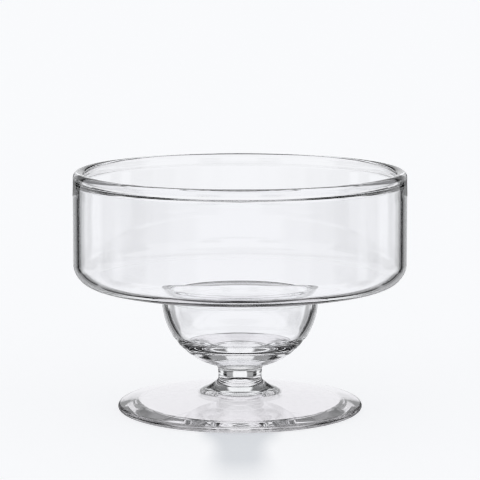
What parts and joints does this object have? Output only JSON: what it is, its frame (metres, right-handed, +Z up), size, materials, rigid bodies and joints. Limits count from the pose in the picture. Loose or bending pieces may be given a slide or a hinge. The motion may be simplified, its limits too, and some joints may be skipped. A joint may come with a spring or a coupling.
{
  "type": "footed cocktail glass",
  "caption": "Footed cocktail glass in clear colourless glass: a wide straight-sided bowl with a beaded rim over a hollow bulb, a short solid stem and a domed round foot.",
  "frame": {"origin": "centre of the ring that the foot stands on, at table height", "axes": "+Z up along the axis of the glass; the glass is round, so +X and +Y are free"},
  "size_m": [0.105, 0.105, 0.0757],
  "materials": {
    "bowl_glass": "clear, fire polished",
    "bulb_glass": "clear, fire polished",
    "stem_glass": "clear, fire polished",
    "foot_glass": "clear, fire polished"
  },
  "bodies": {
    "root": {"bowl": "bowl_glass", "bulb": "bulb_glass", "stem": "stem_glass", "foot": "foot_glass"}
  },
  "joints": []
}
